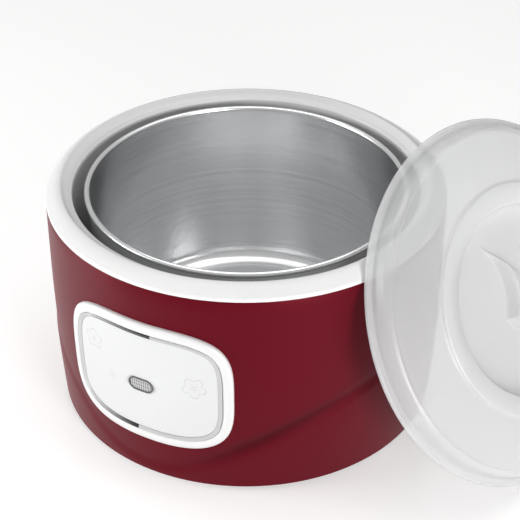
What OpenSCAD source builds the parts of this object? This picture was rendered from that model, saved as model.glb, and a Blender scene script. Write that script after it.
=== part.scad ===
// Round yogurt maker: a heated housing with an inner steel pot and a lid that leans on it.
// The housing's axis is vertical and the control panel faces the local -Y side before it is turned.

/* [Housing] */
// Radius of the housing at its widest, also of the rim ring
body_r = 94.4; // [90:0.2:100]
// Height of the housing's top edge above the floor
shell_top = 108.3; // [104:0.1:116]
// Thickness of the housing's wall
shell_wall = 2.5; // [2:0.1:3]
// Radius of the long curve that draws the side in below its straight part
side_arc_r = 1010; // [800:10:1400]
// Height at which the straight part of the side begins
straight_from = 78; // [70:1:90]
// How far the lower skirt stands out under the smile line
skirt_out = 0.6; // [0.3:0.1:0.9]
// Slope of the smile line's two arms, in degrees
smile_slope = 31.3; // [25:0.1:36]
// Radius of the smile line's bend under the panel
smile_r = 60; // [45:1:80]
// Height of the smile line's lowest point
smile_low = 8.9; // [7:0.1:12]
// Direction that the panel faces, turned from straight ahead
panel_turn = -29.3; // [-60:0.1:60]

/* [Rim ring] */
// Height of the ring's crest above the housing's top edge
crest_up = 5.9; // [4:0.1:8]
// Distance of the crest in from the ring's outer edge
crest_in = 7.4; // [6:0.1:9]
// Width of the hollow slope inside the crest, on which the closed lid sits
slope_w = 4.5; // [3.5:0.1:5.5]
// Depth of that slope below the crest
slope_drop = 3.4; // [2.5:0.1:4.5]

/* [Chamber] */
// How far the chamber's wall lies inside the ring's mouth
chamber_in = 0.5; // [0.4:0.1:1.5]
// Thickness of the chamber's wall and floor
chamber_wall = 2; // [1.6:0.1:2.4]
// Height of the chamber's floor, on which the pot stands
floor_z = 19; // [18:0.1:22]

/* [Pot] */
// Width of the air gap between the pot and the chamber's wall
air_gap = 7.4; // [6:0.1:12]
// Thickness of the pot's steel
pot_wall = 0.8; // [0.6:0.1:1.2]
// Radius of the rolled rim's section
rim_roll = 1.4; // [1.1:0.1:1.8]
// Depth of the rolled rim's centre below the ring's crest
rim_drop = 5; // [3.5:0.1:12]
// Radius of the pot's bottom corner
pot_corner = 9; // [6:0.5:14]

/* [Lid] */
// How far the lid's edge lies inside the ring's crest
lid_in = 2.2; // [1.5:0.1:4]
// Thickness of the lid's wall
lid_wall = 1.6; // [1.2:0.1:2]
// Half thickness of the lid's lip, which is rounded outside
bead_r = 1.2; // [1:0.1:1.5]
// Width of the lid's lip
lip_w = 3.4; // [2.8:0.1:4.5]
// Height of the lid's shoulder above its edge
shoulder_h = 10.6; // [9:0.1:12]
// Rise of the lid's top from the shoulder to the band
dome_up = 5; // [3:0.1:6]
// Outer radius of the raised band on top
band_r = 54; // [50:0.5:58]
// Width of the raised band
band_w = 10.2; // [8:0.1:12]
// Height of the band over the lid's top
band_up = 1.6; // [1:0.1:2.4]
// Depth of the dish inside the band
dish_deep = 8; // [6:0.5:9]
// Half width of the leaf grip
leaf_half = 11.2; // [9:0.1:13]
// Radius of the finger hollows beside the leaf
hollow_r = 30; // [27:0.5:33]
// How far the leaf's ridge lies below the band's top
leaf_low = 1.2; // [0.5:0.1:3]
// Turn of the leaf on the lid
leaf_turn = 118; // [0:1:359]
// Direction in which the leaning lid faces
lean_az = -45; // [-60:1:-20]
// How far the lid's face looks up from level
lean_up = 30.2; // [20:0.1:45]
// How far the lid is moved along the housing from the middle of its lean
lean_side = 51.6; // [20:0.1:60]
// Gap between the leaning lid and the housing
lean_gap = 0.4; // [0.2:0.05:1]

/* [Panel] */
// Half width of the panel's frame, along the curve
frame_w = 43.3; // [36:0.1:48]
// Half height of the panel's frame
frame_h = 33.2; // [28:0.1:34]
// Height of the panel's centre
panel_z = 56.6; // [54:0.1:60]
// Radius of the frame's corners
frame_corner = 19.5; // [14:0.5:24]
// Width of the frame's band
frame_band = 4.9; // [4.5:0.1:6]
// How far the frame stands out of the housing
frame_out = 2.4; // [2:0.1:3]
// Width of the metal trim inside the frame
trim_w = 1.9; // [1.2:0.1:2.6]
// How far the panel's seat stands out of the housing
seat_out = 1; // [0.7:0.1:1.2]
// Thickness of the panel plate
plate_t = 0.4; // [0.3:0.05:0.6]
// Length of the pill-shaped lamp window
pill_l = 11.4; // [9:0.2:14]
// Height of the lamp window
pill_h = 5.6; // [4.6:0.2:7]

/* [Inside] */
// How far the feet stand out below the housing
foot_out = 1.5; // [1:0.1:3]
// Thickness of the base plate
base_t = 3; // [2.5:0.1:3.4]
// Radius of a foot
foot_r = 8; // [6:0.5:9]
// Distance of the feet in from the base plate's edge
foot_in = 4.7; // [3:0.1:12]
// Distance of the base screws in from the chamber's wall
screw_in = 16; // [13:0.5:20]
// Radius of the heating plate's raised middle
hot_r = 38; // [34:0.5:42]
// Half length of the heater block
heater_half = 22; // [18:0.5:25]
// Half width of the heater block
heater_wide = 10; // [8:0.5:12]
// Width of the inlet's housing
inlet_w = 20; // [18:0.5:24]

/* [Hidden] */
$fn = 96;
fine = 240; // segments of the large round forms
fit = 0.3; // clearance round pieces that drop into an opening
slip = 0.1; // clearance between faces that lie on each other but curve
hair = 0.05; // clearance round a screw's shank
over = 1; // how far a cutter runs past what it cuts

crest_z = shell_top + crest_up;
crest_r = body_r - crest_in;
mouth_r = crest_r - slope_w;
mouth_z = crest_z - slope_drop;
chamber_r = mouth_r - chamber_in;
pot_r = chamber_r - air_gap;
rim_z = crest_z - rim_drop;
lid_r = crest_r - lid_in;
shell_low = foot_out;
base_top = shell_low + base_t;
under_floor = floor_z - chamber_wall;
screw_at = chamber_r - screw_in;

// Radius of the housing's side at height z, moved out by d
function side_r(z, d = 0) = body_r + d
    - (z < straight_from ? side_arc_r - sqrt(pow(side_arc_r, 2) - pow(straight_from - z, 2)) : 0);
function side_line(z0, z1, d, n = 12) = [for (i = [0:n]) let (z = z0 + (z1 - z0) * i / n) [side_r(z, d), z]];
function back_line(z0, z1, d, n = 12) = [for (i = [0:n]) let (z = z1 - (z1 - z0) * i / n) [side_r(z, d), z]];
function arc_pts(c, r, a0, a1, n = 8) = [for (i = [0:n]) let (a = a0 + (a1 - a0) * i / n) c + r * [cos(a), sin(a)]];

// Outer face of the rim ring from its edge up to the crest
ring_edge_h = 1.7;
ring_line = [for (i = [0:8]) let (t = i / 8)
    [body_r - 0.3 - (crest_in - 0.3) * t, shell_top + ring_edge_h + (crest_up - ring_edge_h) * (1 - pow(1 - t, 1.6))]];

plate_r = side_r(shell_low) - shell_wall - fit; // radius of the base plate
foot_at = plate_r - foot_in - foot_r;

// A layer of the housing's side between two offsets
module side_layer(z0, z1, d0, d1) {
    rotate_extrude($fn = fine) polygon(concat(side_line(z0, z1, d1), back_line(z0, z1, d0)));
}

// ---- where the leaning lid stands ----
lid_foot = sin(lean_up); // share of a height over the lid's edge that points up
lid_lean = cos(lean_up);
lean_dir = [cos(lean_az), sin(lean_az)];
along_dir = [-sin(lean_az), cos(lean_az)];
wall_in = lip_w + lid_wall; // distance of the lid's inner face from its edge, at the lip
lid_probe = [[lid_r, 0], [lid_r, 2 * bead_r], [lid_r - wall_in, 0], [lid_r - wall_in - 0.2, 2 * bead_r],
    [lid_r - wall_in - 1.2, shoulder_h - 3.6], [lid_r - wall_in - 1.9, shoulder_h - 2.6],
    [lid_r - wall_in - 4.3, shoulder_h - lid_wall], [lid_r - 16, shoulder_h + 0.2], [lid_r - 23, shoulder_h + 1.9],
    [lid_r - 30, shoulder_h + dome_up - lid_wall]];
lid_z = max([for (p = lid_probe) p[0] * lid_lean - p[1] * lid_foot]);
rim_hull = [[shell_low, side_r(shell_low, skirt_out)], [30, side_r(30, skirt_out)],
    [56, side_r(56, skirt_out)], [57, side_r(57)], [straight_from, body_r], [shell_top, body_r],
    each [for (p = ring_line) [p[1], p[0] + 0.1]]];
function lid_point(p, a) = let (u = p[0] * cos(a), v = p[0] * sin(a))
    [lean_dir[0] * (p[1] * lid_lean - v * lid_foot) + along_dir[0] * (u + lean_side),
    lean_dir[1] * (p[1] * lid_lean - v * lid_foot) + along_dir[1] * (u + lean_side),
    lid_z + p[1] * lid_foot + v * lid_lean];
function push_out(q) = let (b = q[0] * lean_dir[0] + q[1] * lean_dir[1],
    need = lookup(q[2], rim_hull) + lean_gap, disc = b * b - q[0] * q[0] - q[1] * q[1] + need * need)
    q[2] > crest_z + lean_gap || disc < 0 ? 0 : sqrt(disc) - b;
lid_away = max([for (p = lid_probe, a = [0:0.5:359.5]) push_out(lid_point(p, a))]);
lid_c = lean_dir * lid_away + along_dir * lean_side;

// ---- the whole object's middle stands over the origin ----
lid_nx = lean_dir[0] * lid_lean;
lid_ny = lean_dir[1] * lid_lean;
span_x = max([for (p = lid_probe) lid_c[0] + p[1] * lid_nx + p[0] * sqrt(1 - lid_nx * lid_nx)]);
span_y = min([for (p = lid_probe) lid_c[1] + p[1] * lid_ny - p[0] * sqrt(1 - lid_ny * lid_ny)]);
body_x = -(span_x - body_r) / 2;
body_y = -(span_y + body_r) / 2;

module place_body() {
    translate([body_x, body_y, 0]) rotate([0, 0, panel_turn]) children();
}

module place_lid() {
    translate([body_x + lid_c[0], body_y + lid_c[1], lid_z])
        rotate([0, 0, lean_az]) rotate([0, 90 - lean_up, 0]) children();
}

// ---- outline of the panel, by distance o out of the frame's edge ----
corner_steps = 12;
flat_steps = 10;
function corner_at(k) = [[frame_w - frame_corner, frame_h - frame_corner],
    [-frame_w + frame_corner, frame_h - frame_corner], [-frame_w + frame_corner, -frame_h + frame_corner],
    [frame_w - frame_corner, -frame_h + frame_corner]][k % 4];
function corner_pt(k, i, o) = let (a = 90 * k + 90 * i / corner_steps)
    corner_at(k) + (frame_corner + o) * [cos(a), sin(a)];
function panel_line(o) = [for (k = [0:3], i = [0:corner_steps + flat_steps - 1])
    i <= corner_steps ? corner_pt(k, i, o)
    : let (t = (i - corner_steps) / flat_steps)
        corner_pt(k, corner_steps, o) * (1 - t) + corner_pt(k + 1, 0, o) * t];
panel_count = 4 * (corner_steps + flat_steps);
mid_r = body_r; // radius on which lengths along the panel's curve are measured
function bend_x(s, d = 0) = (mid_r + d) * sin(s / mid_r * 180 / PI);
function panel_pt(p, d) = let (z = panel_z + p[1], a = -90 + p[0] / mid_r * 180 / PI)
    [side_r(z, d) * cos(a), side_r(z, d) * sin(a), z];

// Straight-pulled prism with the panel's outline
module panel_prism(o, deep = 20) {
    translate([0, -body_r + deep, 0]) rotate([90, 0, 0]) linear_extrude(2 * deep)
        polygon([for (p = panel_line(o)) [bend_x(p[0]), panel_z + p[1]]]);
}

// Closed ring swept round the panel's outline; each section point is [o, d]
module panel_sweep(section) {
    m = len(section);
    pts = [for (j = [0:m - 1]) each [for (p = panel_line(section[j][0])) panel_pt(p, section[j][1])]];
    faces = [for (j = [0:m - 1], i = [0:panel_count - 1]) let (
        a = j * panel_count + i, b = j * panel_count + (i + 1) % panel_count,
        c = ((j + 1) % m) * panel_count + i, e = ((j + 1) % m) * panel_count + (i + 1) % panel_count)
        each [[a, c, b], [b, c, e]]];
    polyhedron(points = pts, faces = faces, convexity = 6);
}

module pill(l, h, y0, y1) {
    translate([0, y1, panel_z - 1.1]) rotate([90, 0, 0]) linear_extrude(y1 - y0) {
        square([l - h, h], center = true);
        for (s = [-1, 1]) translate([s * (l - h) / 2, 0]) circle(d = h);
    }
}

// Half plane under the smile line, lowered by drop, as a prism through the housing
module under_smile(drop) {
    arm_end = body_r + 10;
    bend_z = smile_low + smile_r - drop;
    touch_x = smile_r * sin(smile_slope);
    touch_z = bend_z - smile_r * cos(smile_slope);
    rotate([90, 0, 0]) translate([0, 0, -body_r - 10]) linear_extrude(2 * (body_r + 10)) difference() {
        translate([-arm_end, -5]) square([2 * arm_end, 80]);
        polygon([[-touch_x, touch_z], [touch_x, touch_z], [arm_end + 5, touch_z + (arm_end + 5 - touch_x) * tan(smile_slope)],
            [arm_end + 5, 90], [-arm_end - 5, 90], [-arm_end - 5, touch_z + (arm_end + 5 - touch_x) * tan(smile_slope)]]);
        translate([0, bend_z]) circle(r = smile_r, $fn = fine);
    }
}

rib_t = 2; // thickness of the ledges inside the housing
ledge_top = shell_top - 3.8; // ledge under the chamber's flange
smile_steps = 3;

module outer_shell() {
    color("#6b1420") place_body() difference() {
        union() {
            rotate_extrude($fn = fine) polygon(concat(
                [[side_r(shell_low) - shell_wall, shell_low], [side_r(shell_low) - 0.8, shell_low]],
                side_line(shell_low + 0.8, shell_top, 0), back_line(shell_low, shell_top, -shell_wall)));
            for (i = [1:smile_steps]) intersection() {
                rotate_extrude($fn = fine) polygon(concat(
                    [[side_r(shell_low) - 1, shell_low], [side_r(shell_low) - 0.6, shell_low]],
                    side_line(shell_low + 1, 62, skirt_out * i / smile_steps), [[side_r(62) - 1, 62]]));
                under_smile((i - 1) * 1.1);
            }
            ledge(ledge_top - rib_t, 5.5);
            ledge(base_top, 4);
        }
        panel_prism(-3.4);
        inlet_cut(fit);
    }
}

// Ring-shaped ledge on the inside of the housing's wall
module ledge(z, w) {
    rotate_extrude($fn = fine) polygon([[side_r(z) - shell_wall - w, z], [side_r(z) - 1, z],
        [side_r(z) - 1, z + rib_t], [side_r(z) - shell_wall - w, z + rib_t]]);
}

flange_t = 1.6; // thickness of the chamber's hanging flange

module top_ring() {
    rib_out = body_r - shell_wall - fit;
    color("#f4f4f2") place_body() rotate_extrude($fn = fine) polygon(concat(
        [[body_r, shell_top], [body_r, shell_top + ring_edge_h - 0.5]], ring_line, [[crest_r - 0.3, crest_z - 0.15]],
        [for (i = [1:6]) let (t = i / 6) [crest_r - 0.3 - (slope_w - 0.9) * t, crest_z - 0.15 - (slope_drop - 0.4) * (1 - pow(1 - t, 2))]],
        [[mouth_r + 0.1, mouth_z - 0.1], [mouth_r - 0.25, mouth_z - 0.6], [mouth_r - 0.35, mouth_z - 1.4]],
        [[chamber_r, ledge_top + flange_t + 2], [chamber_r, ledge_top + flange_t]],
        [[chamber_r + 3, ledge_top + flange_t], [chamber_r + 3, mouth_z - 3.4], [crest_r - 1.4, mouth_z - 2.6],
            [crest_r + 2.4, shell_top + 2.6], [rib_out - 2, shell_top + 0.4], [rib_out - 2, ledge_top + flange_t + fit],
            [rib_out, ledge_top + flange_t + fit], [rib_out, shell_top]]));
}

boss_r = 4;
screw_shank = 1.45;
plate_lip = 4; // how far the heating plate's flange reaches under the floor
clamp_at = hot_r + plate_lip + 2 * boss_r; // distance of the clamp's bosses from the middle
clamp_z = 9.5; // height of the clamp bosses' lower ends
screw_angles = [-90, 30, 150];

module chamber_liner() {
    outer = chamber_r + chamber_wall;
    color("#ececea") place_body() difference() {
        union() {
            rotate_extrude($fn = fine) polygon(concat(
                [[0, under_floor], [outer - 4, under_floor]],
                arc_pts([outer - 5, under_floor + 5], 5, -90, 0, 6),
                [[outer, ledge_top], [body_r - shell_wall - 2.6, ledge_top], [body_r - shell_wall - 2.6, ledge_top + flange_t],
                    [chamber_r, ledge_top + flange_t]],
                arc_pts([chamber_r - 3, floor_z + 3], 3, 0, -90, 6),
                [[0, floor_z]]));
            for (a = screw_angles) rotate([0, 0, a]) translate([screw_at, 0, base_top])
                cylinder(r = boss_r, h = under_floor - base_top + over);
            for (s = [-1, 1]) translate([s * clamp_at, 0, clamp_z])
                cylinder(r = boss_r, h = under_floor - clamp_z + over);
        }
        translate([0, 0, under_floor - over]) cylinder(r = hot_r + fit, h = chamber_wall + 2 * over, $fn = fine);
        for (a = screw_angles) rotate([0, 0, a]) translate([screw_at, 0, base_top - over])
            cylinder(r = screw_shank + hair, h = 10 + over);
        for (s = [-1, 1]) translate([s * clamp_at, 0, clamp_z - over])
            cylinder(r = screw_shank + hair, h = 7 + over);
    }
}

vent_count = 12;

module base_plate() {
    color("#e4e4e2") place_body() difference() {
        translate([0, 0, shell_low]) cylinder(r = plate_r, h = base_t, $fn = fine);
        for (k = [0:3]) rotate([0, 0, 45 + 90 * k]) translate([foot_at, 0, shell_low - over])
            cylinder(r = foot_r + fit, h = base_t - 1 + over);
        for (a = screw_angles) rotate([0, 0, a]) translate([screw_at, 0, shell_low - over]) {
            cylinder(r = screw_shank + 0.25, h = base_t + 2 * over);
            cylinder(r = 3.4, h = base_t - 1.4 + over);
        }
        for (k = [0:vent_count - 1]) rotate([0, 0, 360 / vent_count * k]) {
            translate([22, -1.5, shell_low - over]) cube([18, 3, base_t + 2 * over]);
            for (x = [22, 40]) translate([x, 0, shell_low - over]) cylinder(r = 1.5, h = base_t + 2 * over, $fn = 32);
        }
    }
}

module rubber_feet() {
    color("#3a3a3a") place_body() for (k = [0:3]) rotate([0, 0, 45 + 90 * k]) translate([foot_at, 0, 0])
        rotate_extrude() polygon([[0, 0], [foot_r - 1.2, 0], [foot_r - 0.3, 0.5], [foot_r, 1.2],
            [foot_r, shell_low + base_t - 1], [0, shell_low + base_t - 1]]);
}

// Pan-head screw, head at z = 0 and below, shank upwards
module screw(head_r, head_h, shank_r, shank_l) {
    difference() {
        union() {
            translate([0, 0, -head_h]) cylinder(r = head_r, h = head_h, $fn = 48);
            translate([0, 0, -over / 2]) cylinder(r = shank_r, h = shank_l + over / 2, $fn = 48);
        }
        for (a = [0, 90]) rotate([0, 0, a]) translate([-head_r * 0.6, -0.4, -head_h - over])
            cube([head_r * 1.2, 0.8, head_h * 0.5 + over]);
    }
}

module base_screws() {
    color("#c9c9c9") place_body() for (a = screw_angles) rotate([0, 0, a])
        translate([screw_at, 0, shell_low + base_t - 1.4]) screw(2.8, 1.4, screw_shank, 10);
}

module inner_pot() {
    wall_top = rim_z + rim_roll * 0.4;
    inner = pot_r - pot_wall;
    color("#c8ccd0") place_body() rotate_extrude($fn = fine) difference() {
        union() {
            polygon(concat([[0, floor_z]],
                arc_pts([pot_r - 1.2 - pot_corner, floor_z + pot_corner], pot_corner, -90, 0, 8),
                [[pot_r, rim_z - 12], [pot_r, wall_top], [inner, wall_top], [inner, rim_z - 12]],
                arc_pts([pot_r - 1.2 - pot_corner, floor_z + pot_corner], pot_corner - pot_wall, 0, -90, 8),
                [[0, floor_z + pot_wall]]));
            translate([pot_r + rim_roll - pot_wall, rim_z]) circle(r = rim_roll, $fn = 48);
        }
        translate([pot_r + rim_roll - pot_wall, rim_z]) circle(r = rim_roll - 0.6, $fn = 48);
    }
}

dish_r = band_r - band_w;
band_foot = shoulder_h + dome_up;
band_top = band_foot + band_up;

// Outer face of the lid from its lip to the middle, as [radius, height]
function lid_outer() = concat(
    [[lid_r - bead_r - 0.4, 0]],
    arc_pts([lid_r - bead_r, bead_r], bead_r, -70, 80, 6),
    [[lid_r - lip_w + 0.5, 2 * bead_r], [lid_r - lip_w, 2 * bead_r + 0.6], [lid_r - lip_w - 1, shoulder_h - 4.2]],
    arc_pts([lid_r - lip_w - 5.1, shoulder_h - 4.2], 4.2, 14, 76, 5),
    [[band_r + 15, shoulder_h + dome_up * 0.44], [band_r + 7, shoulder_h + dome_up * 0.82], [band_r + 0.9, band_foot]],
    arc_pts([band_r - 1.2, band_top - 1.2], 1.2, 10, 80, 3),
    [[band_r - 3, band_top + 0.25], [dish_r + 3, band_top + 0.1]],
    arc_pts([dish_r + 1.4, band_top - 1.3], 1.3, 95, 165, 3),
    [for (i = [1:6]) let (t = i / 6) [dish_r - 0.6 - 13 * t * t, band_top - 2 - (dish_deep - 2.2) * (1 - pow(1 - t, 2))]],
    [[0, band_top - dish_deep]]);

// Inner face, the same line moved in by the wall
function lid_inner() = concat(
    [[0, band_top - dish_deep - lid_wall]],
    [for (i = [6:-1:1]) let (t = i / 6) [dish_r - 0.8 - 13 * t * t + lid_wall * (1 - t), band_top - 2 - lid_wall * t - (dish_deep - 2.2) * (1 - pow(1 - t, 2))]],
    [[dish_r + 1.8, band_top - lid_wall - 0.5], [dish_r + 3.4, band_top - lid_wall + 0.1], [band_r - 3.2, band_top - lid_wall + 0.2],
        [band_r - 1.7, band_top - lid_wall - 0.3], [band_r - 0.6, band_foot - lid_wall],
        [band_r + 7, shoulder_h + dome_up * 0.82 - lid_wall], [band_r + 15, shoulder_h + dome_up * 0.44 - lid_wall]],
    arc_pts([lid_r - lip_w - 5.1, shoulder_h - 4.2], 4.2 - lid_wall, 76, 14, 5),
    [[lid_r - wall_in - 1, shoulder_h - 4.2], [lid_r - wall_in, 2 * bead_r], [lid_r - wall_in, 0]]);

// Leaf with two finger hollows taken out of its sides; grow is the wall taken off for the inside
module leaf_shape(shrink) {
    tip = dish_r + 0.3;
    side = (tip * tip + leaf_half * leaf_half) / (2 * leaf_half);
    hx = hollow_r - 4.7;
    difference() {
        intersection() {
            translate([leaf_half - side, 0]) circle(r = side - shrink, $fn = fine);
            translate([side - leaf_half, 0]) circle(r = side - shrink, $fn = fine);
        }
        translate([-hx, 26.4]) circle(r = hollow_r + shrink, $fn = fine);
        translate([hx, -26.4]) circle(r = hollow_r + shrink, $fn = fine);
    }
}

leaf_ball = 190; // radius of the sphere that rounds the leaf's ridge

module leaf_solid(shrink, low, top) {
    intersection() {
        translate([0, 0, low]) linear_extrude(20) rotate([0, 0, leaf_turn]) leaf_shape(shrink);
        translate([0, 0, top - leaf_ball]) sphere(r = leaf_ball, $fn = fine);
    }
}

module lid() {
    ridge = band_top - leaf_low;
    dish_floor = band_top - dish_deep;
    color("#eef0f1", 0.6) place_lid() difference() {
        union() {
            rotate_extrude($fn = fine) polygon(concat(lid_outer(), lid_inner()));
            leaf_solid(0, dish_floor - lid_wall / 2, ridge);
        }
        leaf_solid(lid_wall, dish_floor - lid_wall - over, ridge - lid_wall);
    }
}

module panel_bezel() {
    b = frame_band;
    f = frame_out;
    color("#f6f6f4") place_body() difference() {
        union() {
            panel_sweep([[0, slip], [0, f * 0.4], [-0.35, f * 0.66], [-1.1, f * 0.88], [-2.2, f],
                [-b + 1.4, f * 0.97], [-b + 0.5, f * 0.85], [-b, f * 0.62], [-b, slip]]);
            difference() {
                intersection() {
                    panel_prism(-3.4 - fit);
                    side_layer(panel_z - frame_h, panel_z + frame_h, -4.5, seat_out);
                }
                intersection() {
                    panel_prism(-3.4 - fit - 1.6);
                    side_layer(panel_z - frame_h, panel_z + frame_h, -6, -1.2);
                }
            }
            for (s = [-1, 1]) translate([s * board_boss_x, -board_y, board_z]) rotate([90, 0, 0])
                cylinder(r = 2.5, h = body_r - 2 - board_y, $fn = 48);
        }
        pill(pill_l + 2 * slip, pill_h + 2 * slip, -body_r - 5, -body_r + 7);
        for (s = [-1, 1]) translate([s * board_boss_x, -board_y + over, board_z]) rotate([90, 0, 0])
            cylinder(r = 0.9 + hair, h = 4 + over, $fn = 48);
    }
}

module panel_trim() {
    b = frame_band + slip;
    color("#b9bcc0") place_body()
        panel_sweep([[-b, seat_out + hair], [-b, seat_out + 1], [-b - 0.4, seat_out + 1.1],
            [-b - trim_w, seat_out + 0.6], [-b - trim_w, seat_out + hair]]);
}

module panel_plate() {
    color("#e3e6ea") place_body() difference() {
        intersection() {
            panel_prism(-frame_band - trim_w - 2 * slip);
            side_layer(panel_z - frame_h, panel_z + frame_h, seat_out + hair, seat_out + hair + plate_t);
        }
        pill(pill_l + 2 * slip, pill_h + 2 * slip, -body_r - 5, -body_r + 7);
    }
}

module pill_frame() {
    face = seat_out + plate_t + 2 * hair;
    color("#6d7075") place_body() difference() {
        intersection() {
            pill(pill_l + 1.6, pill_h + 1.6, -body_r - 5, -body_r + 7);
            side_layer(panel_z - frame_h, panel_z + frame_h, face, face + 0.5);
        }
        pill(pill_l + 2 * slip, pill_h + 2 * slip, -body_r - 5, -body_r + 7);
    }
}

module lamp_lens() {
    color("#cfd3d8") place_body() intersection() {
        pill(pill_l, pill_h, -body_r - 5, -body_r + 7);
        side_layer(panel_z - frame_h, panel_z + frame_h, -1.2, seat_out + plate_t + 0.3);
    }
}

board_y = body_r - 7.2; // distance of the lamp board's front face from the axis
board_t = 1.2;
board_l = 40;
board_h = 16;
board_boss_x = board_l / 2 - 4;
board_z = panel_z - 1.1;

module led_board() {
    color("#2f6b45") place_body() difference() {
        translate([-board_l / 2, -board_y, board_z - board_h / 2]) cube([board_l, board_t, board_h]);
        for (s = [-1, 1]) translate([s * board_boss_x, -board_y + board_t + over, board_z]) rotate([90, 0, 0])
            cylinder(r = 1.1, h = board_t + 2 * over, $fn = 48);
    }
}

module led_lamp() {
    color("#e8d9a0") place_body() translate([0, -board_y, board_z]) rotate([90, 0, 0]) {
        cylinder(r = 1.9, h = 0.8, $fn = 48);
        translate([0, 0, 0.7]) cylinder(r = 1.5, h = 2.2, $fn = 48);
        translate([0, 0, 2.9]) sphere(r = 1.5, $fn = 48);
    }
}

module board_screws() {
    color("#c9c9c9") place_body() for (s = [-1, 1]) translate([s * board_boss_x, -board_y + board_t, board_z])
        rotate([90, 0, 0]) screw(1.7, 1, 0.9, 4.6);
}

flange_plate = 1.5;
heater_top = under_floor - flange_plate;
fuse_at = [14, 26];
fuse_r = 2.2;
fuse_half = 9;
fuse_z = heater_top - fuse_r - hair;
strap_top = fuse_z - fuse_r - hair;
strap_boss = [14, 34.5];

module heat_plate() {
    color("#cfd2d4") place_body() difference() {
        union() {
            translate([0, 0, heater_top]) cylinder(r = hot_r + plate_lip, h = flange_plate, $fn = fine);
            translate([0, 0, under_floor - 0.5]) cylinder(r = hot_r, h = chamber_wall + 0.5, $fn = fine);
            translate([strap_boss[0], strap_boss[1], strap_top]) cylinder(r = 3, h = heater_top - strap_top + 0.5);
        }
        translate([strap_boss[0], strap_boss[1], strap_top - over]) cylinder(r = screw_shank + hair, h = 4.6 + over);
    }
}

mica_t = 0.5;
clamp_t = 1.2;
heater_low = clamp_z + mica_t;

module heater_block() {
    color("#d9c9a8") place_body() {
        translate([-heater_half, -heater_wide, heater_low]) cube([2 * heater_half, 2 * heater_wide, heater_top - heater_low]);
        for (s = [-1, 1]) translate([s * (heater_half + 2.5) - 3, 1.9, 12.2]) cube([6, 6.2, 0.8]);
    }
}

module mica_sheet() {
    color("#b8a070") place_body()
        translate([-heater_half + 1, -heater_wide + 1, clamp_z]) cube([2 * heater_half - 2, 2 * heater_wide - 2, mica_t]);
}

module heater_clamp() {
    color("#a9adb0") place_body() difference() {
        union() {
            translate([-clamp_at, -5, clamp_z - clamp_t]) cube([2 * clamp_at, 10, clamp_t]);
            for (s = [-1, 1]) translate([s * clamp_at, 0, clamp_z - clamp_t]) cylinder(r = 5, h = clamp_t);
            translate([-heater_half + 2, -heater_wide + 2, clamp_z - clamp_t]) cube([2 * heater_half - 4, 2 * heater_wide - 4, clamp_t]);
        }
        for (s = [-1, 1]) translate([s * clamp_at, 0, clamp_z - clamp_t - over]) cylinder(r = screw_shank + 0.25, h = clamp_t + 2 * over);
    }
}

module clamp_screws() {
    color("#c9c9c9") place_body() {
        for (s = [-1, 1]) translate([s * clamp_at, 0, clamp_z - clamp_t]) screw(2.8, 1.6, screw_shank, 7);
        translate([strap_boss[0], strap_boss[1], strap_top - strap_t]) screw(2.6, 1.6, screw_shank, 4.6);
    }
}

strap_t = 1;

module thermal_fuse() {
    color("#8f3a2c") place_body() translate([fuse_at[0], fuse_at[1], fuse_z]) rotate([0, 90, 0]) {
        cylinder(r = fuse_r, h = 2 * fuse_half, center = true, $fn = 48);
        cylinder(r = 0.6, h = 2 * fuse_half + 8, center = true, $fn = 32);
    }
}

// Flat strap that holds the fuse up against the heating plate
module fuse_clip() {
    low = fuse_at[1] - fuse_r - 1.5;
    color("#a9adb0") place_body() difference() {
        union() {
            translate([fuse_at[0] - 4, low, strap_top - strap_t]) cube([8, strap_boss[1] - low, strap_t]);
            translate([strap_boss[0], strap_boss[1], strap_top - strap_t]) cylinder(r = 4, h = strap_t);
        }
        translate([strap_boss[0], strap_boss[1], strap_top - strap_t - over])
            cylinder(r = screw_shank + 0.25, h = strap_t + 2 * over);
    }
}

// Round wire through a list of points, with a ball at each bend
module wire(pts, r) {
    for (i = [0:len(pts) - 2]) {
        d = pts[i + 1] - pts[i];
        translate(pts[i]) rotate([0, acos(d[2] / norm(d)), atan2(d[1], d[0])])
            cylinder(r = r, h = norm(d), $fn = 32);
        if (i > 0) translate(pts[i]) sphere(r = r * 1.12, $fn = 32);
    }
}

inlet_h = 11.5; // height of the inlet's housing
inlet_z = base_top + inlet_h / 2;
inlet_face = side_r(inlet_z) - 0.9; // the inlet's face lies a little inside the wall
inlet_ear = 2; // how far the inlet's ears reach past its mouth
ear_front = body_r - 7.2;
inlet_back = ear_front - 15.2;
pin_gap = 3.3; // half the distance of the two pins
pin_r = 1.15;
socket_r = 4.1;
socket_deep = 11;
tail_end = inlet_back - 4;
tab_y = 8.1;
tab_z = 12.6;
tab_x = heater_half + 2.5;

module lead_wires() {
    lead_r = 0.9;
    fuse_end = fuse_half + 4 + hair;
    color("#d8d2c4") place_body() {
        wire([[-pin_gap, tail_end - hair, inlet_z], [-pin_gap, tail_end - 8, inlet_z], [-tab_x, 30, 11],
            [-tab_x, 12, tab_z], [-tab_x, tab_y + hair, tab_z]], lead_r);
        wire([[pin_gap, tail_end - hair, inlet_z], [pin_gap, tail_end - 12, inlet_z], [-3, 34, 12],
            [-3, fuse_at[1], fuse_z], [fuse_at[0] - fuse_end, fuse_at[1], fuse_z]], lead_r);
        bend_x_at = fuse_at[0] + fuse_end + 4;
        wire([[fuse_at[0] + fuse_end, fuse_at[1], fuse_z], [bend_x_at, fuse_at[1], fuse_z], [bend_x_at, 16, tab_z],
            [tab_x, 12, tab_z], [tab_x, tab_y + hair, tab_z]], lead_r);
    }
}

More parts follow.
